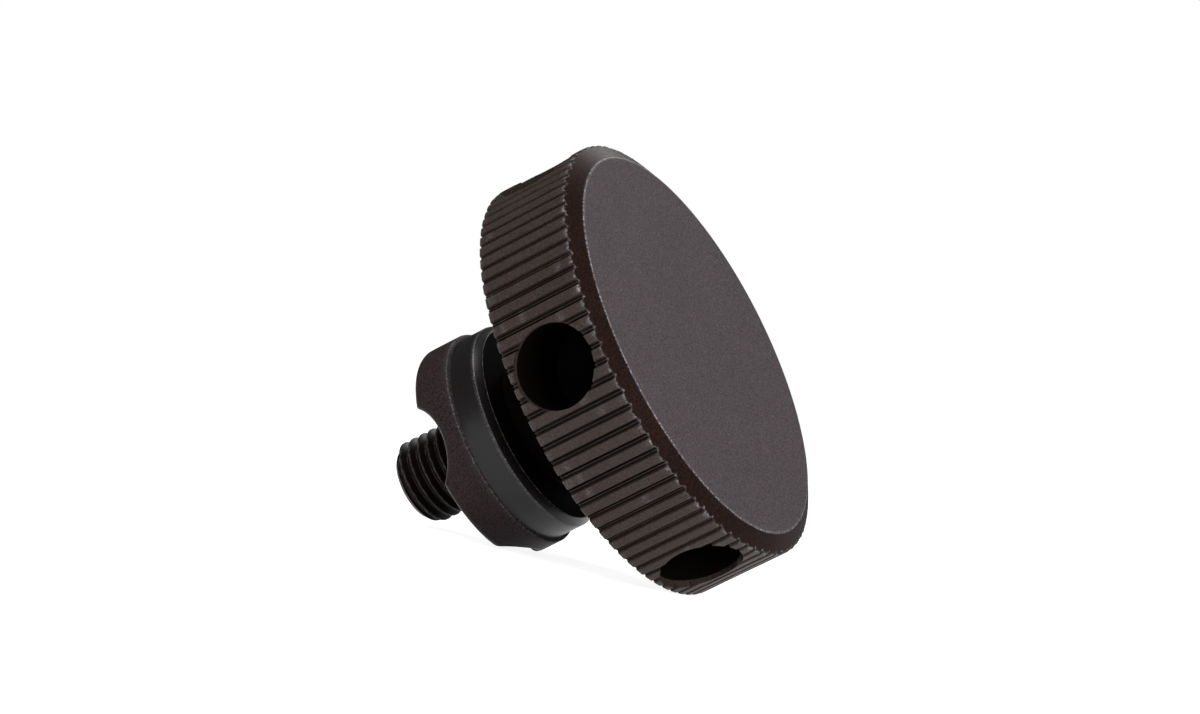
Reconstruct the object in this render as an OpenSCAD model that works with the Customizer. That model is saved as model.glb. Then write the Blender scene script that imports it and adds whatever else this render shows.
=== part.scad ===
// Thumb screw, turned from one bar: a knurled head with radial bar holes, a
// neck, a collar whose end is cut into lobes, and a threaded stud.
// It lies as it comes to rest: on the rear edge of its head and on the two
// lobe corners beside the lowest scallop. Millimetres, +Z up.

/* [Head] */
// Diameter over the knurl crests
head_d = 40; // [38:0.5:46]
// Thickness from the flat face to the rear edge
head_t = 9.8; // [9.5:0.1:13]
// Width of the face chamfer, across the face
face_chamfer_w = 1.7; // [0.8:0.1:3]
// Length of the face chamfer, along the axis
face_chamfer_t = 1; // [0.6:0.1:1.2]

/* [Knurl] */
// Number of straight ridges
ridge_count = 85; // [60:1:100]
// Width of a groove between two ridges, at the crests
groove_w = 0.6; // [0.3:0.02:0.8]
// Depth of a groove below the crests
groove_depth = 0.45; // [0.2:0.05:0.6]

/* [Bar holes] */
// Number of radial holes for a tommy bar
bar_hole_count = 5; // [3:1:6]
// Diameter of a bar hole
bar_hole_d = 7.5; // [5:0.1:7.8]
// Depth of a bar hole, from the crests to the start of its drill point
bar_hole_depth = 9; // [6:0.5:9.5]
// Distance of the hole axes behind the flat face
bar_hole_z = 5.6; // [5.2:0.05:5.7]
// Turn of the first hole away from the lowest side
bar_hole_turn = -12.7; // [-30:0.1:30]
// Included angle of the drill point
drill_point_angle = 118; // [90:1:140]

/* [Neck] */
// Diameter of the neck
neck_d = 12; // [9:0.5:16]
// Length of the neck between head and collar
neck_len = 7; // [5:0.1:10]
// Radius of the fillet where the neck meets the head
neck_fillet_r = 1; // [0.5:0.1:1.5]

/* [Collar] */
// Diameter of the plain band next to the neck
band_d = 19.8; // [18:0.1:20.4]
// Length of the plain band
band_len = 3.2; // [2:0.1:6]
// Size of the chamfer on the band's edge towards the neck
band_chamfer = 0.35; // [0.1:0.05:0.8]
// Diameter of the lobed ring
lobe_d = 20.6; // [20.4:0.1:24]
// Length of the lobed ring
lobe_len = 3.8; // [3:0.1:6]
// Radius of the lobed ring's outer edge towards the stud
lobe_edge_r = 0.8; // [0.3:0.1:1.2]

/* [Scallops] */
// Number of scallops cut across the collar's end
scallop_count = 4; // [3:1:5]
// Width of a scallop at the collar's end
scallop_w = 7.4; // [5:0.1:8.5]
// Depth of a scallop into the collar's end
scallop_depth = 1.8; // [1:0.1:2.5]
// Distance across the land left whole around the stud
land_w = 10.6; // [10:0.1:13]

/* [Stud] */
// Major diameter of the thread
thread_d = 8; // [6:0.1:9]
// Length of the stud beyond the collar's end
stud_len = 6.8; // [5:0.1:12]
// Chamfer at the stud's tip
tip_chamfer = 0.8; // [0.4:0.1:1.2]

/* [Hidden] */
$fn = 96;

// Clear overlap by which cutting shapes pass the surfaces that they cut
cut = 1;

head_r = head_d / 2;
face_r = head_r - face_chamfer_w;
bar_hole_r = bar_hole_d / 2;
neck_r = neck_d / 2;
band_r = band_d / 2;
lobe_r = lobe_d / 2;
thread_r = thread_d / 2;

// Heights along the screw's own axis, with 0 at the collar's end
band_z = lobe_len;
neck_z = band_z + band_len;
head_z = neck_z + neck_len;
face_z = head_z + head_t;
hole_z = face_z - bar_hole_z;
tip_z = -stud_len;

// Angles of one ridge and of half a groove, about the axis
ridge_angle = 360 / ridge_count;
half_groove_angle = asin(groove_w / 2 / head_r);

// Radius of the round cutter that leaves a scallop of this width and depth
scallop_r = (pow(scallop_w / 2, 2) + pow(scallop_depth, 2)) / (2 * scallop_depth);
function scallop_half_w(z) = sqrt(max(0, pow(scallop_r, 2) - pow(z + scallop_r - scallop_depth, 2)));

// The lowest points of the screw as it lies, as [distance below the axis,
// height along the axis]: the crests beside the lowest groove at the head's
// rear edge, and below it the lobe corners and the stud's tip
foot = [head_r * cos(half_groove_angle), head_z];
function lobe_corner(turn) =
    let (r = lobe_r - lobe_edge_r + lobe_edge_r * cos(turn),
         z = lobe_edge_r - lobe_edge_r * sin(turn))
    [sqrt(pow(r, 2) - pow(scallop_half_w(z), 2)), z];
lower_points = concat(
    [for (turn = [0 : 2 : 90]) lobe_corner(turn)],
    [[thread_r, tip_z + tip_chamfer], [thread_r - tip_chamfer, tip_z]]);
// Slope of the axis above the surface that the screw lies on
rest_slope = min([for (p = lower_points) atan2(foot[0] - p[0], foot[1] - p[1])]);
lay_turn = 90 - rest_slope;

// Where a point [distance below the axis, height] comes to lie
function lain_x(p) = p[0] * cos(lay_turn) + p[1] * sin(lay_turn);
function lain_z(p) = p[1] * cos(lay_turn) - p[0] * sin(lay_turn);
front_x = max(lain_x([foot[0], face_z - face_chamfer_t]), lain_x([face_r, face_z]));
back_x = min(lain_x([-thread_r, tip_z + tip_chamfer]), lain_x([tip_chamfer - thread_r, tip_z]));

function polar(r, a) = [r * cos(a), r * sin(a)];

// One ridge's outline: its two crest edges and the bottom of the next groove
function ridge_points(i) = [
    polar(head_r, i * ridge_angle + half_groove_angle),
    polar(head_r, (i + 1) * ridge_angle - half_groove_angle),
    polar(head_r - groove_depth, (i + 1) * ridge_angle)];

module knurl_outline() {
    polygon([for (i = [0 : ridge_count - 1]) each ridge_points(i)]);
}

// The head's turned section, up to the crests, with the face chamfer
module head_section() {
    polygon([[0, head_z], [head_r, head_z], [head_r, face_z - face_chamfer_t],
             [face_r, face_z], [0, face_z]]);
}

// A hole along +X from the crests inwards, ending in a drill point
module bar_hole() {
    point_len = bar_hole_r / tan(drill_point_angle / 2);
    floor_x = head_r - bar_hole_depth;
    translate([floor_x, 0, hole_z])
        rotate([0, 90, 0])
            cylinder(r = bar_hole_r, h = bar_hole_depth + cut);
    translate([floor_x - point_len, 0, hole_z])
        rotate([0, 90, 0])
            cylinder(r1 = 0, r2 = bar_hole_r, h = point_len);
}

module head() {
    difference() {
        intersection() {
            rotate_extrude() head_section();
            translate([0, 0, head_z]) linear_extrude(head_t) knurl_outline();
        }
        for (i = [0 : bar_hole_count - 1])
            rotate([0, 0, bar_hole_turn + i * 360 / bar_hole_count]) bar_hole();
    }
}

// The neck's turned section, with a quarter-round fillet under the head
module neck_section() {
    translate([0, neck_z]) square([neck_r, neck_len]);
    difference() {
        translate([0, head_z - neck_fillet_r]) square([neck_r + neck_fillet_r, neck_fillet_r]);
        translate([neck_r + neck_fillet_r, head_z - neck_fillet_r]) circle(neck_fillet_r);
    }
}

module neck() {
    rotate_extrude() neck_section();
}

// The plain band, with its chamfered edge towards the neck
module band() {
    rotate_extrude()
        polygon([[0, band_z], [band_r, band_z], [band_r, neck_z - band_chamfer],
                 [band_r - band_chamfer, neck_z], [0, neck_z]]);
}

// The lobed ring's turned section, with its outer edge rounded
module lobe_section() {
    square([lobe_r - lobe_edge_r, lobe_len]);
    translate([0, lobe_edge_r]) square([lobe_r, lobe_len - lobe_edge_r]);
    translate([lobe_r - lobe_edge_r, lobe_edge_r]) circle(lobe_edge_r);
}

// A round cut along +X across the collar's end, from the land outwards
module scallop() {
    translate([land_w / 2, 0, scallop_depth - scallop_r])
        rotate([0, 90, 0])
            cylinder(r = scallop_r, h = lobe_r - land_w / 2 + cut);
}

module lobed_ring() {
    difference() {
        rotate_extrude() lobe_section();
        for (i = [0 : scallop_count - 1])
            rotate([0, 0, i * 360 / scallop_count]) scallop();
    }
}

// The stud at its major diameter, let into the collar, with a chamfered tip
module stud() {
    rotate_extrude()
        polygon([[0, lobe_len / 2], [thread_r, lobe_len / 2], [thread_r, tip_z + tip_chamfer],
                 [thread_r - tip_chamfer, tip_z], [0, tip_z]]);
}

// Lays the screw down: turned about Y, and moved so that the middle of its
// base is at the origin
module as_it_rests() {
    translate([-(front_x + back_x) / 2, 0, -lain_z(foot)])
        rotate([0, lay_turn, 0])
            children();
}

module thumb_screw() {
    color("#3d3735")
        as_it_rests()
            union() {
                head();
                neck();
                band();
                lobed_ring();
                stud();
            }
}

thumb_screw();
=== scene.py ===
"""A black anodised thumb screw, turned from one bar, lying as it comes to rest.

The screw's own frame has its axis along Z, with 0 at the collar's end, the flat
face at the top, and +X towards the surface that the screw lies on. The shapes
are worked out there in millimetres, and Lie brings them to the row frame.
"""

import logging
import math
from dataclasses import dataclass, field
from enum import Enum
from typing import Sequence

import bpy
import numpy as np
from mathutils import Matrix, Vector

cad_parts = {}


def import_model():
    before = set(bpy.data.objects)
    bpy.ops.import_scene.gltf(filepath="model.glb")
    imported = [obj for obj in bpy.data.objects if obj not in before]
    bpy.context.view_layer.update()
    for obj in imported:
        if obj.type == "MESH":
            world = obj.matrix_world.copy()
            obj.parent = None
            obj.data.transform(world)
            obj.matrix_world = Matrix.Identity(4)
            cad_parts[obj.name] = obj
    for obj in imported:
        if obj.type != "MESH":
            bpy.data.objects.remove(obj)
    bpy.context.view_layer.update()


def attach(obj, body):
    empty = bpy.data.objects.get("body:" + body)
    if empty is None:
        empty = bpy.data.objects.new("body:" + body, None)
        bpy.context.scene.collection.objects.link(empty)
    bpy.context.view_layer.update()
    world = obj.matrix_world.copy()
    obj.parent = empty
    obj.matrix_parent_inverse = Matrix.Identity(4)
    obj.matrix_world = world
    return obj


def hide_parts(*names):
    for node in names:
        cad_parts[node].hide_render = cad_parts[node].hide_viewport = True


LOG = logging.getLogger("thumb_screw")
MM = 0.001
BODY = "root"
NODE = "thumb_screw"

# The Mix node has several sockets of one name, so its colour ones go by number
MIX_A, MIX_B, MIX_RESULT = 6, 7, 2


class Finish(Enum):
    """The finishes on the screw, in the order of the material slots of each mesh."""

    FACE = 0
    CHAMFER = 1
    KNURL = 2
    BORE = 3
    BAND = 4
    RING = 5
    THREAD = 6


def linear(code: str) -> tuple[float, float, float, float]:
    """Turns a colour from sRGB hex to linear light.

    Args:
        code: the colour, such as "#3d3735".

    Returns:
        Red, green, blue and an alpha of 1.
    """
    parts = [int(code[i : i + 2], 16) / 255 for i in (1, 3, 5)]
    red, green, blue = (
        c / 12.92 if c <= 0.04045 else ((c + 0.055) / 1.055) ** 2.4 for c in parts
    )
    return red, green, blue, 1.0


def smooth_max(a: np.ndarray, b: np.ndarray, blend: float) -> np.ndarray:
    """The larger of two heights, blended where they cross.

    Args:
        a: the first heights.
        b: the second heights.
        blend: the size of the blend, in the heights' unit.

    Returns:
        The blended heights.
    """
    return 0.5 * (a + b + np.sqrt((a - b) ** 2 + blend**2))


def bell(distance: np.ndarray | float, width: float) -> np.ndarray | float:
    """A smooth bump of height 1 that fades over a width on both sides of 0."""
    return np.exp(-((distance / width) ** 2))


def node(
    tree: bpy.types.NodeTree,
    kind: str,
    values: dict[str | int, object] | None = None,
    links: dict[str | int, bpy.types.NodeSocket] | None = None,
    settings: dict[str, object] | None = None,
) -> bpy.types.Node:
    """Adds a node with its settings and links.

    Args:
        tree: the node tree.
        kind: the node's type name.
        values: the values of its input sockets, by name or number.
        links: what its input sockets are linked from, by name or number.
        settings: the node's own properties.

    Returns:
        The node.
    """
    made = tree.nodes.new(kind)
    for key, value in (settings or {}).items():
        setattr(made, key, value)
    for key, value in (values or {}).items():
        made.inputs[key].default_value = value
    for key, source in (links or {}).items():
        tree.links.new(source, made.inputs[key])
    return made


def background_rays(tree: bpy.types.NodeTree, mirrored: float) -> bpy.types.NodeSocket:
    """Tells the rays that show the background from those that light the screw.

    Args:
        tree: the node tree of the floor's material or the world.
        mirrored: the value for mirrored rays.

    Returns:
        A value of 1 for camera and transmitted rays, and 0 for rays that light.
    """
    rays = node(tree, "ShaderNodeLightPath").outputs
    mirror = node(
        tree, "ShaderNodeMapRange", {"To Max": mirrored}, {"Value": rays["Is Glossy Ray"]}
    )
    either = node(
        tree,
        "ShaderNodeMath",
        {},
        {0: rays["Is Camera Ray"], 1: mirror.outputs["Result"]},
        {"operation": "MAXIMUM"},
    )
    shown = node(
        tree,
        "ShaderNodeMath",
        {},
        {0: either.outputs["Value"], 1: rays["Is Transmission Ray"]},
        {"operation": "MAXIMUM"},
    )
    return shown.outputs["Value"]


@dataclass(frozen=True)
class Anodised:
    """Black anodised aluminium with one surface finish.

    The dye sits in a clear oxide layer, so the metal doesn't show and the
    gloss comes from the layer's surface. Cutting, rolling or blasting before
    the bath sets the grain, which is drawn coarse enough to show.

    Attributes:
        name: the material's name.
        colour: the dye's colour.
        speck: the colour of the lighter specks of the grain.
        roughness: the mean roughness of the layer's surface.
        grain_mm: the size of the grain.
        grain_bump: how strongly the grain's relief shows.
        mottle: how much the dye's depth varies over the surface.
        specular: the specular level of the layer.
        ior: the refractive index of the layer.
        wear_and_highlight: the colour of bare spots where handling took the dye off, and of
            the painted highlight lines on edges and crests.
        relief_mm: the height of the grain.
        mottle_mm: the size of the mottling.
        wear_highlight_patch_mm: the size of the patches that break up the bare spots and
            the painted highlights.
        painted_shade_level: how bright the colour stays under the strongest painted shade.
        roughness_spread: how far the grain moves the roughness each way.
    """

    name: str
    colour: str
    speck: str
    roughness: float
    grain_mm: float
    grain_bump: float
    mottle: float
    specular: float
    ior: float = 1.5
    wear_and_highlight: str = "#a6a3a8"
    relief_mm: float = 0.03
    mottle_mm: float = 6.0
    wear_highlight_patch_mm: float = 0.22
    painted_shade_level: float = 0.2
    roughness_spread: float = 0.05

    def build(self) -> bpy.types.Material:
        """Makes the node material.

        Returns:
            The material, with its grain, mottling, pooled dye and wear.
        """
        material = bpy.data.materials.new(self.name)
        material.use_nodes = True
        tree = material.node_tree
        shader = tree.nodes["Principled BSDF"]
        shader.inputs["IOR"].default_value = self.ior
        shader.inputs["Specular IOR Level"].default_value = self.specular
        place = node(tree, "ShaderNodeTexCoord").outputs["Object"]
        grain = node(
            tree,
            "ShaderNodeTexNoise",
            {"Scale": 1 / (self.grain_mm * MM), "Detail": 2.0, "Roughness": 0.6},
            {"Vector": place},
        ).outputs["Fac"]
        colour = self.rub_and_highlight(tree, place, self.dye(tree, place, grain))
        tree.links.new(colour, shader.inputs["Base Color"])
        rough = node(
            tree,
            "ShaderNodeMapRange",
            {
                "From Min": 0.3,
                "From Max": 0.7,
                "To Min": self.roughness - self.roughness_spread,
                "To Max": self.roughness + self.roughness_spread,
            },
            {"Value": grain},
        )
        tree.links.new(rough.outputs["Result"], shader.inputs["Roughness"])
        bump = node(
            tree,
            "ShaderNodeBump",
            {"Strength": self.grain_bump, "Distance": self.relief_mm * MM},
            {"Height": grain},
        )
        tree.links.new(bump.outputs["Normal"], shader.inputs["Normal"])
        return material

    def dye(
        self,
        tree: bpy.types.NodeTree,
        place: bpy.types.NodeSocket,
        grain: bpy.types.NodeSocket,
    ) -> bpy.types.NodeSocket:
        """Adds the dye's colour, with painted shade.

        Args:
            tree: the material's node tree.
            place: the place on the object.
            grain: the grain's value.

        Returns:
            The colour with specks and mottling, darkened by painted shade where the shade
            attribute is high.
        """
        specks = node(
            tree, "ShaderNodeMapRange", {"From Min": 0.3, "From Max": 0.7}, {"Value": grain}
        )
        grained = node(
            tree,
            "ShaderNodeMix",
            {MIX_A: linear(self.colour), MIX_B: linear(self.speck)},
            {"Factor": specks.outputs["Result"]},
            {"data_type": "RGBA"},
        )
        cloud = node(
            tree,
            "ShaderNodeTexNoise",
            {"Scale": 1 / (self.mottle_mm * MM), "Detail": 3.0},
            {"Vector": place},
        )
        depth = node(
            tree,
            "ShaderNodeMapRange",
            {
                "From Min": 0.35,
                "From Max": 0.65,
                "To Min": 1 - self.mottle,
                "To Max": 1 + self.mottle,
            },
            {"Value": cloud.outputs["Fac"]},
        )
        mottled = node(
            tree,
            "ShaderNodeVectorMath",
            {},
            {0: grained.outputs[MIX_RESULT], 1: depth.outputs["Result"]},
            {"operation": "MULTIPLY"},
        )
        painted_shade_coat = node(tree, "ShaderNodeAttribute", {}, {}, {"attribute_name": "shade"})
        darker = node(
            tree,
            "ShaderNodeMapRange",
            {"To Min": 1.0, "To Max": self.painted_shade_level},
            {"Value": painted_shade_coat.outputs["Fac"]},
        )
        dyed_and_shaded = node(
            tree,
            "ShaderNodeVectorMath",
            {},
            {0: mottled.outputs["Vector"], 1: darker.outputs["Result"]},
            {"operation": "MULTIPLY"},
        )
        return dyed_and_shaded.outputs["Vector"]

    def rub_and_highlight(
        self,
        tree: bpy.types.NodeTree,
        place: bpy.types.NodeSocket,
        dyed_and_shaded: bpy.types.NodeSocket,
    ) -> bpy.types.NodeSocket:
        """Mixes the bare colour in, in patches, for handling marks and for painted
        highlights.

        Args:
            tree: the material's node tree.
            place: the place on the object.
            dyed_and_shaded: the dye's colour with its painted shade.

        Returns:
            The colour with handling marks and painted highlights.
        """
        wear_highlight_mask = node(tree, "ShaderNodeAttribute", {}, {}, {"attribute_name": "wear_and_highlight"})
        patch = node(
            tree,
            "ShaderNodeTexNoise",
            {"Scale": 1 / (self.wear_highlight_patch_mm * MM), "Detail": 3.0, "Roughness": 0.7},
            {"Vector": place},
        )
        broken = node(
            tree,
            "ShaderNodeMapRange",
            {"From Min": 0.48, "From Max": 0.64, "To Min": 0.2},
            {"Value": patch.outputs["Fac"]},
        )
        amount = node(
            tree,
            "ShaderNodeMath",
            {},
            {0: wear_highlight_mask.outputs["Fac"], 1: broken.outputs["Result"]},
            {"operation": "MULTIPLY"},
        )
        rubbed_and_highlit = node(
            tree,
            "ShaderNodeMix",
            {MIX_B: linear(self.wear_and_highlight)},
            {"Factor": amount.outputs["Value"], MIX_A: dyed_and_shaded},
            {"data_type": "RGBA"},
        )
        return rubbed_and_highlit.outputs[MIX_RESULT]


FINISHES: dict[Finish, Anodised] = {
    # Fine blasted: an even, slightly violet grey with a fine grain
    Finish.FACE: Anodised(
        name="anodised_face",
        colour="#312a2d",
        speck="#60575a",
        roughness=0.6,
        grain_mm=0.17,
        grain_bump=0.6,
        mottle=0.03,
        specular=0.22,
    ),
    # Turned after the knurl: smoother, so it holds a dark, clear sheen
    Finish.CHAMFER: Anodised(
        name="anodised_chamfer",
        colour="#160c0a",
        speck="#2c1d19",
        roughness=0.36,
        grain_mm=0.22,
        grain_bump=0.15,
        mottle=0.15,
        specular=0.05,
    ),
    # Rolled: warm brown black, dull on top, with painted shade darkening the grooves
    Finish.KNURL: Anodised(
        name="anodised_knurl",
        colour="#2a201c",
        speck="#473c37",
        roughness=0.5,
        grain_mm=0.17,
        grain_bump=0.5,
        mottle=0.08,
        specular=0.2,
    ),
    # Painted shade: near black, for the holes' depths, the fillet, the neck and the
    # collar's back face, where shade falls
    Finish.BORE: Anodised(
        name="painted_shade_black",
        colour="#0a0706",
        speck="#100b09",
        roughness=0.5,
        grain_mm=0.2,
        grain_bump=0.1,
        mottle=0.0,
        specular=0.02,
    ),
    # Finely turned: the smoothest surface, black with a soft sheen
    Finish.BAND: Anodised(
        name="anodised_band",
        colour="#0e0a09",
        speck="#14100e",
        roughness=0.32,
        grain_mm=0.15,
        grain_bump=0.08,
        mottle=0.04,
        specular=0.36,
    ),
    # Blasted like the face, but darker and a little smoother
    Finish.RING: Anodised(
        name="anodised_ring",
        colour="#22191a",
        speck="#453a3c",
        roughness=0.42,
        grain_mm=0.16,
        grain_bump=0.4,
        mottle=0.08,
        specular=0.06,
    ),
    # Cut thread: dark, with crests that catch the light
    Finish.THREAD: Anodised(
        name="anodised_thread",
        colour="#120a08",
        speck="#1c1310",
        roughness=0.34,
        grain_mm=0.15,
        grain_bump=0.2,
        mottle=0.05,
        specular=0.12,
    ),
}


@dataclass(frozen=True)
class Lie:
    """How the screw lies: its own axis is turned about Y, in radians, and moved."""

    turn: float
    move: tuple[float, float, float]

    def matrix(self) -> Matrix:
        """From the screw's own frame in millimetres to the row frame in metres."""
        turn = Matrix.Rotation(self.turn, 4, "Y")
        return Matrix.Scale(MM, 4) @ Matrix.Translation(self.move) @ turn


def make_object(
    name: str,
    points: np.ndarray,
    faces: Sequence[Sequence[int]],
    slots: Sequence[int],
    coats: dict[str, np.ndarray],
    lie: Lie,
    crease_deg: float,
) -> bpy.types.Object:
    """Makes a mesh object from points and faces in the screw's own frame.

    Args:
        name: the object's name.
        points: the points, in millimetres.
        faces: the faces, as lists of point numbers.
        slots: each face's material slot.
        coats: each point's values, by the name that the materials read.
        lie: how the screw lies.
        crease_deg: edges that turn by more than this stay sharp.

    Returns:
        The object, with its points in the row frame.
    """
    mesh = bpy.data.meshes.new(name)
    mesh.from_pydata(points.tolist(), [], faces)
    for finish in Finish:
        mesh.materials.append(bpy.data.materials[FINISHES[finish].name])
    mesh.polygons.foreach_set("material_index", list(slots))
    mesh.polygons.foreach_set("use_smooth", [True] * len(faces))
    for coat, values in coats.items():
        layer = mesh.attributes.new(coat, "FLOAT", "POINT")
        layer.data.foreach_set("value", values.astype(np.float32))
    mesh.transform(lie.matrix())
    mesh.update()
    mesh.set_sharp_from_angle(angle=math.radians(crease_deg))
    made = bpy.data.objects.new(name, mesh)
    bpy.context.scene.collection.objects.link(made)
    return made


@dataclass
class Lathe:
    """Builds a closed or open surface from rings of points about the screw's axis."""

    name: str
    lie: Lie
    columns: np.ndarray
    radii: list[np.ndarray] = field(default_factory=list)
    heights: list[np.ndarray] = field(default_factory=list)
    wear_and_highlights: list[np.ndarray] = field(default_factory=list)
    shades: list[np.ndarray] = field(default_factory=list)
    finishes: list[Finish] = field(default_factory=list)

    def ring(
        self,
        radius: np.ndarray | float,
        height: np.ndarray | float,
        finish: Finish,
        wear_and_highlight: np.ndarray | float = 0.0,
        shade: np.ndarray | float = 0.0,
    ) -> None:
        """Adds a ring. The faces between it and the ring before it take its finish.

        Args:
            radius: the distance from the axis, one value or one per column.
            height: the height along the axis, one value or one per column.
            finish: the finish of the faces back to the ring before.
            wear_and_highlight: how bright the points are made, from 0, by handling that
                took the dye off and by painted highlight lines on edges, with 1 or more
                fully bright.
            shade: how much painted shade darkens the points, from 0 to 1.
        """
        ones = np.ones(len(self.columns))
        self.radii.append(radius * ones)
        self.heights.append(height * ones)
        self.wear_and_highlights.append(wear_and_highlight * ones)
        self.shades.append(shade * ones)
        self.finishes.append(finish)

    def build(
        self, close_first: bool, close_last: bool, crease_deg: float
    ) -> bpy.types.Object:
        """Makes the mesh object.

        Args:
            close_first: whether the first ring is closed to a point on the axis.
            close_last: whether the last ring is closed to a point on the axis.
            crease_deg: edges that turn by more than this stay sharp.

        Returns:
            The object, lying in the row frame.
        """
        sides, count = len(self.columns), len(self.radii)
        radius, height = np.array(self.radii), np.array(self.heights)
        points = np.stack(
            [radius * np.cos(self.columns), radius * np.sin(self.columns), height], -1
        ).reshape(-1, 3)
        wear_and_highlight = np.array(self.wear_and_highlights).reshape(-1)
        shade = np.array(self.shades).reshape(-1)
        index = np.arange(sides * count).reshape(count, sides)
        first, second = index[:-1], index[1:]
        corners = [first, np.roll(first, -1, 1), np.roll(second, -1, 1), second]
        faces = np.stack(corners, -1).reshape(-1, 4).tolist()
        slots = np.repeat([f.value for f in self.finishes[1:]], sides).tolist()
        for end, wanted in ((0, close_first), (-1, close_last)):
            if not wanted:
                continue
            centre = len(points)
            points = np.vstack([points, [0, 0, height[end].mean()]])
            wear_and_highlight, shade = np.append(wear_and_highlight, 0.0), np.append(shade, 0.0)
            row, ahead = index[end], np.roll(index[end], -1)
            pairs = zip(ahead, row) if end == 0 else zip(row, ahead)
            faces += [[int(p), int(q), centre] for p, q in pairs]
            slots += [self.finishes[end].value] * sides
        coats = {"wear_and_highlight": wear_and_highlight, "shade": shade}
        return make_object(self.name, points, faces, slots, coats, self.lie, crease_deg)


@dataclass(frozen=True)
class Knurl:
    """The knurl at each column of points round the head.

    Attributes:
        angle: the column's angle about the axis.
        ridge: the number of its ridge.
        across: its place across the ridge, from 0 to 1 between two grooves.
        depth: how deep the surface is below the crests, in millimetres.
        top: whether it is on the ridge's flat top.
        off_groove: its distance from the nearer groove, as a share of the pitch.
    """

    angle: np.ndarray
    ridge: np.ndarray
    across: np.ndarray
    depth: np.ndarray
    top: np.ndarray
    off_groove: np.ndarray


@dataclass(frozen=True)
class RidgeEnds:
    """What rolling and turning left on each column at the ridges' front ends.

    Attributes:
        jitter: how far the ridge stands proud, in millimetres.
        chipped: how far the ridge's end is pushed up and chipped.
        ragged: how far the chamfer's rim wanders, in millimetres.
        scoop: how deep the groove's rounded end is, in millimetres.
        burr: how large a burr closes the groove.
        bright: how much the end catches the light.
    """

    jitter: np.ndarray
    chipped: np.ndarray
    ragged: np.ndarray
    scoop: np.ndarray
    burr: np.ndarray
    bright: np.ndarray


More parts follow.
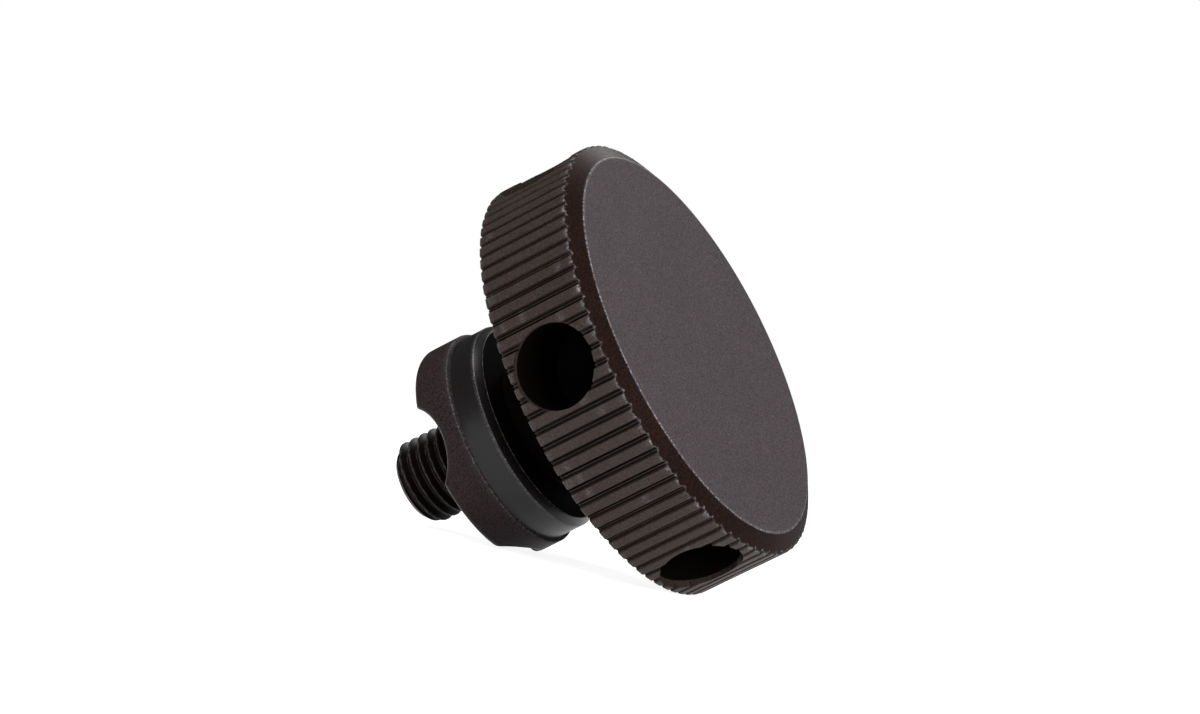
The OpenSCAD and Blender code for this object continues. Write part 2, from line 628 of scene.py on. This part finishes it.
@dataclass
class Head:
    """The knurled disc: flat face, chamfer, straight ridges and bar holes."""

    rear_z: float
    neck_r: float
    thickness: float = 9.8
    crest_r: float = 20.0
    chamfer_w: float = 1.7
    chamfer_t: float = 1.0
    ridges: int = 85
    groove_w: float = 0.6
    groove_depth: float = 0.45
    hole_count: int = 5
    hole_r: float = 3.75
    hole_depth: float = 9.0
    hole_below_face: float = 5.6
    hole_turn_deg: float = -12.7
    hole_sides: int = 72
    # Depth over which painted shade takes a hole's wall from the knurl's colour to black
    mouth_depth: float = 0.8
    point_deg: float = 118.0
    fillet_r: float = 1.0
    # A knock on the edge between face and chamfer
    knock_deg: float = 305.0
    knock_width_deg: float = 1.1
    knock_size: float = 1.6
    # Length over which the grooves come to their full depth behind the chamfer
    end_len: float = 0.34
    # Rings of points that only keep the flat surfaces evenly divided
    face_rings: tuple[float, ...] = (6.0, 12.0, 16.5)
    rear_rings: tuple[float, ...] = (19.0, 15.0, 10.0, 7.0)
    knurl_rings: int = 16
    crease_deg: float = 32.0
    seed: int = 7

    @property
    def face_z(self) -> float:
        """The height of the flat face."""
        return self.rear_z + self.thickness

    @property
    def face_r(self) -> float:
        """The radius of the flat face."""
        return self.crest_r - self.chamfer_w

    @property
    def slope(self) -> float:
        """How far the chamfer drops for each millimetre outwards."""
        return self.chamfer_t / self.chamfer_w

    @property
    def foot(self) -> tuple[float, float]:
        """Radius and height of the crests' rear edge, which the head lies on."""
        half_groove = math.asin(self.groove_w / 2 / self.crest_r)
        return self.crest_r * math.cos(half_groove), self.rear_z

    def groove_profile(self) -> tuple[np.ndarray, np.ndarray]:
        """One ridge's outline.

        Returns:
            Places along the crest circle from one groove's middle to the next,
            in millimetres, and how deep the surface is there.
        """
        pitch = 2 * math.pi * self.crest_r / self.ridges
        half = self.groove_w / 2
        # Two valleys with a thin rib between them, which the knurl's teeth left:
        # shares of the groove's half width, and of its depth
        shape = [
            (0.0, 0.42),
            (0.13, 0.45),
            (0.26, 0.8),
            (0.4, 1.0),
            (0.6, 0.96),
            (0.82, 0.5),
            (0.97, 0.1),
            (1.08, 0.015),
            (1.3, 0.0),
            (1.75, 0.0),
        ]
        side = [(half * s, self.groove_depth * d) for s, d in shape]
        mirrored = [(pitch - s, d) for s, d in side[1:][::-1]]
        outline = side + [(pitch / 2, 0.0)] + mirrored
        return np.array([p[0] for p in outline]), np.array([p[1] for p in outline])

    def knurl(self) -> Knurl:
        """Repeats the ridge's outline round the head.

        Returns:
            The knurl's columns.
        """
        place, depth = self.groove_profile()
        pitch_angle = 2 * math.pi / self.ridges
        ridge = np.repeat(np.arange(self.ridges), len(place))
        across = np.tile(place / (pitch_angle * self.crest_r), self.ridges)
        depths = np.tile(depth, self.ridges)
        return Knurl(
            angle=ridge * pitch_angle + np.tile(place / self.crest_r, self.ridges),
            ridge=ridge,
            across=across,
            depth=depths,
            top=depths < 0.1 * self.groove_depth,
            off_groove=np.minimum(across, 1 - across),
        )

    def ridge_ends(self, knurl: Knurl, rng: np.random.Generator) -> RidgeEnds:
        """Draws the irregular ends of the ridges.

        Args:
            knurl: the knurl's columns.
            rng: the source of random numbers.

        Returns:
            The ends' values at each column.
        """
        columns = len(knurl.angle)
        jitter = rng.normal(0, 0.012, self.ridges)[knurl.ridge]
        chip = np.clip(rng.normal(0.35, 0.45, self.ridges), 0, 1.2)[knurl.ridge]
        lean = rng.uniform(-0.35, 0.35, self.ridges)[knurl.ridge]
        ragged = rng.normal(0, 0.04, columns)
        burr = np.clip(rng.normal(0.8, 0.9, self.ridges), 0, 2.6)[knurl.ridge]
        burr = burr * bell(knurl.off_groove, 0.1)
        return RidgeEnds(
            jitter=jitter,
            chipped=chip * bell(knurl.across - 0.5 - lean, 0.22) * knurl.top,
            ragged=ragged,
            scoop=0.5 * self.groove_depth * bell(knurl.off_groove, 0.17),
            burr=burr,
            bright=np.clip(rng.normal(0.15, 0.4, columns), 0, 1.2) + burr,
        )

    def turn_face(self, lathe: Lathe) -> None:
        """Adds the flat face and its edge, with the knock.

        Args:
            lathe: the lathe that the head is built on.
        """
        for radius in (*self.face_rings, self.face_r - 0.25):
            lathe.ring(radius, self.face_z, Finish.FACE)
        off_knock = lathe.columns - math.radians(self.knock_deg)
        knock = self.knock_size * bell(off_knock, math.radians(self.knock_width_deg))
        # Distance outside the face's edge and below the face, how far the knock moves it
        # inwards and down, finish, and wear_and_highlight value, which here paints a
        # highlight line along the edge
        edge = (
            (-0.1, 0.001, 0.2, 0.0, Finish.FACE, 0.2),
            (-0.03, 0.008, 0.17, 0.0, Finish.FACE, 0.7),
            (0.04, 0.04, 0.05, 0.1, Finish.CHAMFER, 1.2),
            (0.1, 0.1 * self.slope, 0.0, 0.0, Finish.CHAMFER, 0.2),
        )
        for out, below, inwards, down, finish, wear_and_highlight in edge:
            radius = self.face_r + out - inwards * knock
            lathe.ring(radius, self.face_z - below - down * knock, finish, wear_and_highlight)

    def turn_chamfer(self, lathe: Lathe, ends: RidgeEnds) -> np.ndarray:
        """Adds the chamfer. It cuts the grooves, so its rim is scooped and chipped.

        Args:
            lathe: the lathe that the head is built on.
            ends: the ridges' ends.

        Returns:
            The height of the chamfer's rim at each column.
        """
        rim = self.crest_r + ends.jitter - ends.scoop - 0.05 - 0.1 * ends.chipped
        rim = rim + ends.ragged
        for share in (0.12, 0.35, 0.6, 0.8, 0.93):
            out = (rim - self.face_r) * share
            lathe.ring(self.face_r + out, self.face_z - out * self.slope, Finish.CHAMFER)
        rim_z = self.face_z - (rim - self.face_r) * self.slope
        lathe.ring(rim, rim_z, Finish.CHAMFER, 0.6 * ends.bright + 0.3 * ends.chipped)
        return rim_z

    def roll_knurl(
        self,
        lathe: Lathe,
        knurl: Knurl,
        ends: RidgeEnds,
        rim_z: np.ndarray,
        rng: np.random.Generator,
    ) -> None:
        """Adds the ridges from the chamfer's rim to the rear edge.

        Args:
            lathe: the lathe that the head is built on.
            knurl: the knurl's columns.
            ends: the ridges' ends.
            rim_z: the height of the chamfer's rim at each column.
            rng: the source of random numbers.
        """
        crest = self.crest_r + ends.jitter
        # Painted shade: the colour darkens towards the bottom of the grooves
        shade = np.clip((knurl.depth / self.groove_depth - 0.2) / 0.6, 0, 1)
        wear_highlight_mask = np.clip(0.15 + ends.bright + ends.chipped, 0, 1) * (0.4 + 0.6 * knurl.top)
        # Distance behind the rim, inset, share of the groove's depth, height of a
        # burr of size 1, and wear
        steps = (
            (0.05, 0.02, 0.1, 0.04, 1.0),
            (0.12, 0.0, 0.4, 0.04, 0.7),
            (0.22, 0.0, 0.8, 0.0, 0.35),
            (self.end_len, 0.0, 1.0, 0.0, 0.12),
        )
        for behind, inset, opened, burr, wear_and_highlight in steps:
            hollow = knurl.depth * opened + ends.scoop * (1 - opened)
            chips = 0.09 * ends.chipped * bell(behind, 0.3)
            lathe.ring(
                crest - inset - hollow - chips + burr * ends.burr,
                rim_z - behind - 0.1 * ends.chipped,
                Finish.KNURL,
                wear_and_highlight * wear_highlight_mask,
                shade * opened,
            )
        dents = np.zeros(len(knurl.angle))
        rib = knurl.across < 0.05
        for share in np.linspace(0.07, 0.93, self.knurl_rings):
            z = (rim_z - self.end_len) * (1 - share) + self.rear_z * share
            dents = 0.6 * dents + rng.normal(0, 0.005, len(knurl.angle))
            speck = (rng.uniform(0, 1, self.ridges) > 0.97)[knurl.ridge]
            wear_and_highlight = 0.02 * knurl.top + 0.22 * (speck * (knurl.top | rib))
            lathe.ring(crest - knurl.depth + dents, z, Finish.KNURL, wear_and_highlight, shade)
        # Height above the rear edge, inset, and wear_and_highlight value of its rounding,
        # which is partly handling marks and partly painted highlights at the ridges' rear
        # ends
        for above, inset, wear_and_highlight in ((0.18, 0.0, 0.15), (0.06, 0.03, 0.35), (0.0, 0.12, 0.1)):
            radius = crest - knurl.depth - inset
            lathe.ring(radius, self.rear_z + above, Finish.KNURL, wear_and_highlight * knurl.top, shade)

    def turn_rear(self, lathe: Lathe) -> None:
        """Adds the rear face and the fillet, down to inside the neck.

        Args:
            lathe: the lathe that the head is built on.
        """
        for radius in self.rear_rings:
            lathe.ring(radius, self.rear_z, Finish.CHAMFER)
        # The fillet and the ring inside the neck take the painted shade black
        for angle in np.radians(np.arange(15, 91, 15)):
            lathe.ring(
                self.neck_r + self.fillet_r * (1 - math.sin(angle)),
                self.rear_z - self.fillet_r * (1 - math.cos(angle)),
                Finish.BORE,
            )
        hidden_r, hidden_z = self.neck_r - 1, self.rear_z - self.fillet_r - 0.2
        lathe.ring(hidden_r, hidden_z, Finish.BORE)

    def hole_cutter(self, lie: Lie) -> bpy.types.Object:
        """Makes the shape of all bar holes, each with its drill point.

        Args:
            lie: how the screw lies.

        Returns:
            The cutter's object.
        """
        bottom = self.crest_r - self.hole_depth
        tip = bottom - self.hole_r / math.tan(math.radians(self.point_deg / 2))
        # Distance from the axis, and how much painted shade darkens the wall there
        rows = (
            (self.crest_r + 0.3, 0.0),
            (self.crest_r - self.mouth_depth, 1.0),
            (bottom, 1.0),
        )
        sides = self.hole_sides
        around = np.linspace(0, 2 * math.pi, sides, endpoint=False)[:, None]
        up = np.array([0.0, 0.0, 1.0])
        middle = (self.face_z - self.hole_below_face) * up
        points: list[np.ndarray] = []
        faces: list[list[int]] = []
        slots: list[int] = []
        shades: list[float] = []
        for hole in range(self.hole_count):
            turn = math.radians(self.hole_turn_deg + 360 / self.hole_count * hole)
            outwards = np.array([math.cos(turn), math.sin(turn), 0.0])
            sideways = np.array([-math.sin(turn), math.cos(turn), 0.0])
            circle = self.hole_r * (np.cos(around) * sideways + np.sin(around) * up)
            start = len(points)
            for distance, shade in rows:
                points += list(middle + distance * outwards + circle)
                shades += [shade] * sides
            points.append(middle + tip * outwards)
            shades.append(1.0)
            faces.append([start + i for i in range(sides)])
            slots.append(Finish.BORE.value)
            point, last = len(points) - 1, start + 2 * sides
            for i in range(sides):
                j = (i + 1) % sides
                for row, finish in ((start, Finish.KNURL), (start + sides, Finish.BORE)):
                    deeper = row + sides
                    faces.append([row + i, deeper + i, deeper + j, row + j])
                    slots.append(finish.value)
                faces.append([last + i, point, last + j])
                slots.append(Finish.BORE.value)
        coats = {"wear_and_highlight": np.zeros(len(points)), "shade": np.array(shades)}
        return make_object(
            "hole_cutter", np.array(points), faces, slots, coats, lie, self.crease_deg
        )

    def build(self, lie: Lie) -> bpy.types.Object:
        """Makes the head with its holes cut.

        Args:
            lie: how the screw lies.

        Returns:
            The head's object.
        """
        rng = np.random.default_rng(self.seed)
        knurl = self.knurl()
        ends = self.ridge_ends(knurl, rng)
        lathe = Lathe("head", lie, knurl.angle)
        self.turn_face(lathe)
        rim_z = self.turn_chamfer(lathe, ends)
        self.roll_knurl(lathe, knurl, ends, rim_z, rng)
        self.turn_rear(lathe)
        head = lathe.build(True, True, self.crease_deg)
        cutter = self.hole_cutter(lie)
        bpy.context.view_layer.update()
        cut = head.modifiers.new("holes", "BOOLEAN")
        cut.operation = "DIFFERENCE"
        cut.solver = "EXACT"
        cut.object = cutter
        graph = bpy.context.evaluated_depsgraph_get()
        mesh = bpy.data.meshes.new_from_object(head.evaluated_get(graph))
        head.modifiers.clear()
        head.data = mesh
        mesh.set_sharp_from_angle(angle=math.radians(self.crease_deg))
        bpy.data.objects.remove(cutter)
        return head


@dataclass
class Collar:
    """The neck, the plain band and the lobed ring with its scalloped end."""

    neck_r: float = 6.0
    neck_len: float = 7.0
    band_r: float = 9.9
    band_len: float = 3.2
    # The band's edge towards the neck is drawn larger than this chamfer, by about
    # half across and by its own size along, because the photograph shows it so
    band_chamfer: float = 0.35
    lobe_r: float = 10.3
    lobe_len: float = 3.8
    edge_r: float = 0.8
    scallops: int = 4
    scallop_w: float = 7.4
    scallop_depth: float = 1.8
    land_w: float = 10.6
    stud_r: float = 4.0
    # Size of the rounding where a scallop meets the collar's end
    blend: float = 0.12
    # Length of the neck inside the head's fillet
    overlap: float = 0.8
    columns: int = 480
    crease_deg: float = 40.0

    @property
    def neck_z(self) -> float:
        """The height at which the neck starts."""
        return self.lobe_len + self.band_len

    @property
    def neck_end_z(self) -> float:
        """The height at which the neck ends and the head starts."""
        return self.neck_z + self.neck_len

    @property
    def scallop_r(self) -> float:
        """The radius of the cutter that leaves a scallop of this width and depth."""
        half_w, depth = self.scallop_w / 2, self.scallop_depth
        return (half_w**2 + depth**2) / (2 * depth)

    def lobe_corners(self) -> list[tuple[float, float]]:
        """The corner of a lobe, along the rounded edge, which the collar lies on.

        Returns:
            Radius and height of points on the corner.
        """
        corners = []
        for turn in np.radians(np.arange(0, 91, 2)):
            radius = self.lobe_r - self.edge_r + self.edge_r * math.cos(turn)
            height = self.edge_r - self.edge_r * math.sin(turn)
            above = height + self.scallop_r - self.scallop_depth
            half_w = math.sqrt(max(0.0, self.scallop_r**2 - above**2))
            corners.append((math.sqrt(radius**2 - half_w**2), height))
        return corners

    def off_scallop(self, angle: np.ndarray) -> np.ndarray:
        """The angle from the middle of the nearest scallop."""
        step = 2 * math.pi / self.scallops
        return (angle + step / 2) % step - step / 2

    def end_height(self, radius: np.ndarray, angle: np.ndarray) -> np.ndarray:
        """How high the collar's end is, where the scallops have cut into it.

        Args:
            radius: distances from the axis.
            angle: angles about the axis.

        Returns:
            The height of the cut surface, or about 0 where there is no scallop.
        """
        across = radius * np.sin(self.off_scallop(angle))
        arch = np.sqrt(np.maximum(self.scallop_r**2 - across**2, 0))
        height = self.scallop_depth - self.scallop_r + arch
        uncut = np.abs(across) > self.scallop_w / 2 + 0.5
        height = np.where(uncut, -1.0, height)
        # The blend lifts the edge by half its size, and half of that is taken back
        lift = self.blend / 4 * np.exp(-4 * np.abs(height))
        return smooth_max(height, np.zeros_like(height), self.blend) - lift

    def turn_band(self, lathe: Lathe) -> float:
        """Adds the neck, the band and the shoulder of the lobed ring.

        Args:
            lathe: the lathe that the collar is built on.

        Returns:
            The height at which the ring's outside starts.
        """
        neck_top = self.neck_end_z - self.overlap
        back_r = self.band_r - 1.6 * self.band_chamfer
        low_z = self.neck_z - 2 * self.band_chamfer
        shoulder = self.lobe_len
        side_z = shoulder - 0.14
        # Radius, height, finish, and wear_and_highlight value; the neck and the collar's
        # back face take the painted shade black, and the values paint highlight lines on
        # the band's edges and the ring's shoulder
        profile = (
            (self.neck_r, neck_top, Finish.BORE, 0.0),
            (self.neck_r, (neck_top + self.neck_z) / 2, Finish.BORE, 0.0),
            (self.neck_r, self.neck_z + 0.15, Finish.BORE, 0.0),
            (self.neck_r + 0.15, self.neck_z, Finish.BORE, 0.0),
            (back_r - 1.5, self.neck_z, Finish.BORE, 0.0),
            (back_r - 0.06, self.neck_z, Finish.BORE, 0.0),
            (back_r, self.neck_z - 0.01, Finish.BAND, 1.1),
            (back_r + 0.05, self.neck_z - 0.05, Finish.BAND, 0.0),
            (self.band_r - 0.08, low_z + 0.1, Finish.BAND, 0.0),
            (self.band_r - 0.02, low_z + 0.02, Finish.BAND, 0.8),
            (self.band_r, low_z - 0.06, Finish.BAND, 0.3),
            (self.band_r, shoulder + 2.2, Finish.BAND, 0.0),
            (self.band_r, shoulder + 1.5, Finish.BAND, 0.0),
            (self.band_r, shoulder + 0.7, Finish.BAND, 0.0),
            (self.band_r, shoulder + 0.12, Finish.BAND, 0.0),
            (self.band_r + 0.02, shoulder + 0.02, Finish.BAND, 0.2),
            (self.band_r + 0.12, shoulder, Finish.RING, 0.4),
            (self.lobe_r - 0.1, shoulder - 0.01, Finish.RING, 0.5),
            (self.lobe_r - 0.03, shoulder - 0.05, Finish.RING, 0.75),
            (self.lobe_r, side_z, Finish.RING, 0.1),
        )
        for radius, height, finish, wear_and_highlight in profile:
            lathe.ring(radius, height, finish, wear_and_highlight)
        return side_z

    def cut_end(self, lathe: Lathe, side_z: float) -> None:
        """Adds the ring's outside, the lobes' rounded edges and the scalloped end.

        Args:
            lathe: the lathe that the collar is built on.
            side_z: the height at which the ring's outside starts.
        """
        angle = lathe.columns
        lip = self.end_height(np.full(self.columns, self.lobe_r), angle)
        # The rounding is tighter where a scallop has cut into it
        edge = self.edge_r - 0.25 * np.clip(lip / self.scallop_depth, 0, 1)
        for share in (0.2, 0.4, 0.6, 0.8, 0.93):
            z = side_z * (1 - share) + (lip + edge) * share
            lathe.ring(self.lobe_r, z, Finish.RING)
        # Painted highlight at every 10 degrees of the rounding, most on its lower half, as
        # a light line along the scalloped edge
        for part, wear_and_highlight in enumerate((0.0, 0.0, 0.0, 0.0, 0.2, 0.9, 1.3, 0.4, 0.0, 0.0)):
            turn = math.radians(10 * part)
            radius = self.lobe_r - edge + edge * math.cos(turn)
            rise = edge * (1 - math.sin(turn))
            lathe.ring(radius, self.end_height(radius, angle) + rise, Finish.RING, wear_and_highlight)
        # The land is a square with its sides across the scallops
        land = self.land_w / 2 / np.cos(self.off_scallop(angle))
        outer = self.lobe_r - edge
        for share in (0.15, 0.4, 0.7, 0.96):
            radius = np.minimum(outer * (1 - share) + (land + 0.06) * share, outer)
            lathe.ring(radius, self.end_height(radius, angle), Finish.RING)
        lathe.ring(np.minimum(land - 0.04, outer - 0.3), 0.05, Finish.RING, 0.2)
        lathe.ring(np.minimum(land - 0.12, outer - 0.4), 0.0, Finish.RING)
        lathe.ring(self.stud_r + 0.5, 0.0, Finish.RING)
        hidden_r = self.stud_r - 1.2
        lathe.ring(hidden_r, 0.0, Finish.THREAD)

    def build(self, lie: Lie) -> bpy.types.Object:
        """Makes the collar.

        Args:
            lie: how the screw lies.

        Returns:
            The collar's object, from inside the head to inside the stud.
        """
        angle = np.linspace(0, 2 * math.pi, self.columns, endpoint=False)
        lathe = Lathe("collar", lie, angle)
        side_z = self.turn_band(lathe)
        self.cut_end(lathe, side_z)
        return lathe.build(False, False, self.crease_deg)


@dataclass
class Stud:
    """The stud with its right-hand M8 x 1 thread."""

    major_r: float = 4.0
    pitch: float = 1.0
    depth: float = 0.613
    length: float = 6.8
    tip: float = 0.8
    # Shares of half a pitch: the crest's flat, and the flank down to the root
    crest_flat: float = 0.14
    flank: float = 0.68
    # Share of the depth that rounds the root
    rounding: float = 0.15
    # Heights inside the collar at which the stud and its thread start
    start_z: float = 0.6
    thread_z: float = 0.3
    # Radius of a ring of points that only keeps the tip evenly divided
    tip_ring: float = 1.5
    columns: int = 144
    rows_per_pitch: int = 22
    crease_deg: float = 50.0

    @property
    def tip_corners(self) -> list[tuple[float, float]]:
        """Radius and height of the two corners of the tip's chamfer."""
        low = -self.length
        return [(self.major_r, low + self.tip), (self.major_r - self.tip, low)]

    def radius(self, turns: np.ndarray) -> np.ndarray:
        """The thread's radius, with a flat crest and a rounded root.

        Args:
            turns: places along the thread, in turns.

        Returns:
            The distance from the axis at each place.
        """
        off_crest = np.abs((turns % 1.0) - 0.5) * 2
        down = np.clip((off_crest - self.crest_flat) / self.flank, 0, 1)
        rounded = self.rounding * np.sin(down * math.pi / 2)
        return self.major_r - self.depth * (down * (1 - self.rounding) + rounded)

    def build(self, lie: Lie) -> bpy.types.Object:
        """Makes the stud from inside the collar to its tip.

        Args:
            lie: how the screw lies.

        Returns:
            The stud's object.
        """
        angle = np.linspace(0, 2 * math.pi, self.columns, endpoint=False)
        lathe = Lathe("stud", lie, angle)
        lathe.ring(self.major_r - self.depth, self.start_z, Finish.THREAD)
        count = int(self.length / self.pitch * self.rows_per_pitch)
        for z in np.linspace(self.thread_z, 0.02 - self.length, count):
            thread = self.radius((z - self.pitch * angle / (2 * math.pi)) / self.pitch)
            chamfer = self.major_r - max(0.0, self.tip - (self.length + z))
            # The crests' handling marks and painted highlight show as light lines along the
            # thread
            crest = (thread > self.major_r - 0.06).astype(float) * (z < -0.2)
            lathe.ring(np.minimum(thread, chamfer), z, Finish.THREAD, 0.22 * crest)
        end_r = self.major_r - self.tip
        lathe.ring(end_r - 0.08, -self.length, Finish.THREAD, 0.2)
        lathe.ring(self.tip_ring, -self.length, Finish.THREAD)
        return lathe.build(True, True, self.crease_deg)


def lie_at_rest(head: Head, collar: Collar, stud: Stud) -> Lie:
    """Works out how the screw lies, in the same way as the CAD model.

    It lies on the rear edge of its head and on the first of the lower corners
    that the surface meets, with the middle of its base at the origin.

    Args:
        head: the head.
        collar: the collar.
        stud: the stud.

    Returns:
        How the screw lies.
    """
    foot_r, foot_z = head.foot
    corners = collar.lobe_corners() + stud.tip_corners
    slope = min(math.atan2(foot_r - r, foot_z - z) for r, z in corners)
    turn = math.pi / 2 - slope

    def lain_x(radius: float, height: float) -> float:
        """Where a point below the axis comes to lie along X."""
        return radius * math.cos(turn) + height * math.sin(turn)

    edge_z = head.face_z - head.chamfer_t
    front = max(lain_x(foot_r, edge_z), lain_x(head.face_r, head.face_z))
    back = min(lain_x(-r, z) for r, z in stud.tip_corners)
    lift = foot_r * math.sin(turn) - foot_z * math.cos(turn)
    return Lie(turn, (-(front + back) / 2, 0.0, lift))


@dataclass(frozen=True)
class Softbox:
    """A square area lamp that looks at the middle of the screw."""

    name: str
    place: tuple[float, float, float]
    size: float
    power: float

    def build(self, aim: Vector) -> None:
        """Adds the lamp to the scene.

        Args:
            aim: the point that the lamp looks at.
        """
        lamp = bpy.data.lights.new(self.name, "AREA")
        lamp.shape = "SQUARE"
        lamp.size = self.size
        lamp.energy = self.power
        made = bpy.data.objects.new(self.name, lamp)
        made.location = self.place
        made.rotation_euler = (aim - Vector(self.place)).to_track_quat("-Z", "Y").to_euler()
        bpy.context.scene.collection.objects.link(made)


@dataclass
class Studio:
    """The white floor, the soft light and the camera of the photograph."""

    camera_mm: tuple[float, float, float] = (158.521, -320.118, 19.449)
    azimuth_deg: float = 26.592
    elevation_deg: float = 0.129
    roll_deg: float = 13.487
    # The lens in pixels of the photograph, and the photograph's width
    focal_px: float = 4000.0
    width_px: float = 1200.0
    sensor_mm: float = 36.0
    # Strength of the world's light in the middle and on its dim side, and the
    # direction of its bright side
    ambient: float = 0.25
    dim_side: float = 0.03
    bright_side: tuple[float, float, float] = (0.72, -0.62, 0.31)
    # How much of the white background the screw mirrors
    mirrored_world: float = 0.03
    mirrored_floor: float = 0.85
    floor_size: float = 6.0
    floor_grey: float = 0.7
    floor_lift: float = 0.88
    aim_z: float = 0.018
    softboxes: tuple[Softbox, ...] = (
        Softbox("key_softbox", (0.44, -0.22, 0.18), 0.3, 1.45),
        Softbox("camera_softbox", (0.02, -0.42, 0.3), 0.42, 0.45),
        Softbox("rear_softbox", (-0.13, 0.5, 0.34), 0.18, 0.25),
        Softbox("top_softbox", (-0.2, -0.08, 0.5), 0.22, 0.85),
    )

    def add_camera(self) -> None:
        """Adds the camera with the place, turn and angle of view of the photograph."""
        data = bpy.data.cameras.new("photo_camera")
        data.sensor_fit = "HORIZONTAL"
        data.sensor_width = self.sensor_mm
        data.lens = self.focal_px / self.width_px * self.sensor_mm
        data.clip_start = 0.01
        data.clip_end = 50
        made = bpy.data.objects.new("photo_camera", data)
        turn = (
            Matrix.Rotation(math.radians(self.azimuth_deg), 4, "Z")
            @ Matrix.Rotation(math.radians(90 - self.elevation_deg), 4, "X")
            @ Matrix.Rotation(math.radians(self.roll_deg), 4, "Z")
        )
        made.matrix_world = Matrix.Translation(Vector(self.camera_mm) * MM) @ turn
        bpy.context.scene.collection.objects.link(made)
        bpy.context.scene.camera = made

    def add_floor(self) -> None:
        """Adds the pale floor that the screw lies on."""
        half = self.floor_size / 2
        mesh = bpy.data.meshes.new("floor")
        corners = [(-half, -half, 0), (half, -half, 0), (half, half, 0), (-half, half, 0)]
        mesh.from_pydata(corners, [], [(0, 1, 2, 3)])
        # Matt white paper: it shows no sheen, and takes a soft shadow
        material = bpy.data.materials.new("white_paper")
        material.use_nodes = True
        tree = material.node_tree
        shader = tree.nodes["Principled BSDF"]
        grey = self.floor_grey
        shader.inputs["Base Color"].default_value = (grey, grey, grey, 1)
        shader.inputs["Roughness"].default_value = 1.0
        shader.inputs["Specular IOR Level"].default_value = 0.0
        shader.inputs["Emission Color"].default_value = (1, 1, 1, 1)
        shown = node(
            tree,
            "ShaderNodeMapRange",
            {"To Max": self.floor_lift},
            {"Value": background_rays(tree, self.mirrored_floor)},
        )
        tree.links.new(shown.outputs["Result"], shader.inputs["Emission Strength"])
        mesh.materials.append(material)
        made = bpy.data.objects.new("floor", mesh)
        bpy.context.scene.collection.objects.link(made)

    def add_world(self) -> None:
        """Adds a soft studio light, dimmer behind the screw, that shows as white."""
        world = bpy.data.worlds.new("studio")
        bpy.context.scene.world = world
        world.use_nodes = True
        tree = world.node_tree
        back = tree.nodes["Background"]
        back.inputs["Color"].default_value = (1, 1, 1, 1)
        place = node(tree, "ShaderNodeTexCoord")
        facing = node(
            tree,
            "ShaderNodeVectorMath",
            {1: self.bright_side},
            {0: place.outputs["Generated"]},
            {"operation": "DOT_PRODUCT"},
        )
        room = node(
            tree,
            "ShaderNodeMapRange",
            {
                "From Min": -0.8,
                "From Max": 0.8,
                "To Min": self.dim_side,
                "To Max": 2 * self.ambient - self.dim_side,
            },
            {"Value": facing.outputs["Value"]},
        )
        seen = node(
            tree,
            "ShaderNodeMapRange",
            {},
            {
                "Value": background_rays(tree, self.mirrored_world),
                "To Min": room.outputs["Result"],
            },
        )
        tree.links.new(seen.outputs["Result"], back.inputs["Strength"])

    def build(self) -> None:
        """Adds everything round the screw."""
        self.add_camera()
        self.add_floor()
        self.add_world()
        for box in self.softboxes:
            box.build(Vector((0.0, 0.0, self.aim_z)))


def main() -> None:
    """Builds the screw and the studio."""
    logging.basicConfig(level=logging.INFO, format="%(name)s: %(message)s")
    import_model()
    bpy.context.scene.view_settings.view_transform = "Standard"
    for recipe in FINISHES.values():
        recipe.build()
    collar = Collar()
    head = Head(rear_z=collar.neck_end_z, neck_r=collar.neck_r)
    stud = Stud(major_r=collar.stud_r)
    lie = lie_at_rest(head, collar, stud)
    LOG.info("lies turned %.6f degrees, moved %s mm", math.degrees(lie.turn), lie.move)
    pieces = [head.build(lie), collar.build(lie), stud.build(lie)]
    for piece in pieces:
        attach(piece, BODY)
        LOG.info("%s: %d faces", piece.name, len(piece.data.polygons))
    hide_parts(NODE)
    Studio().build()


if __name__ == "__main__":
    main()
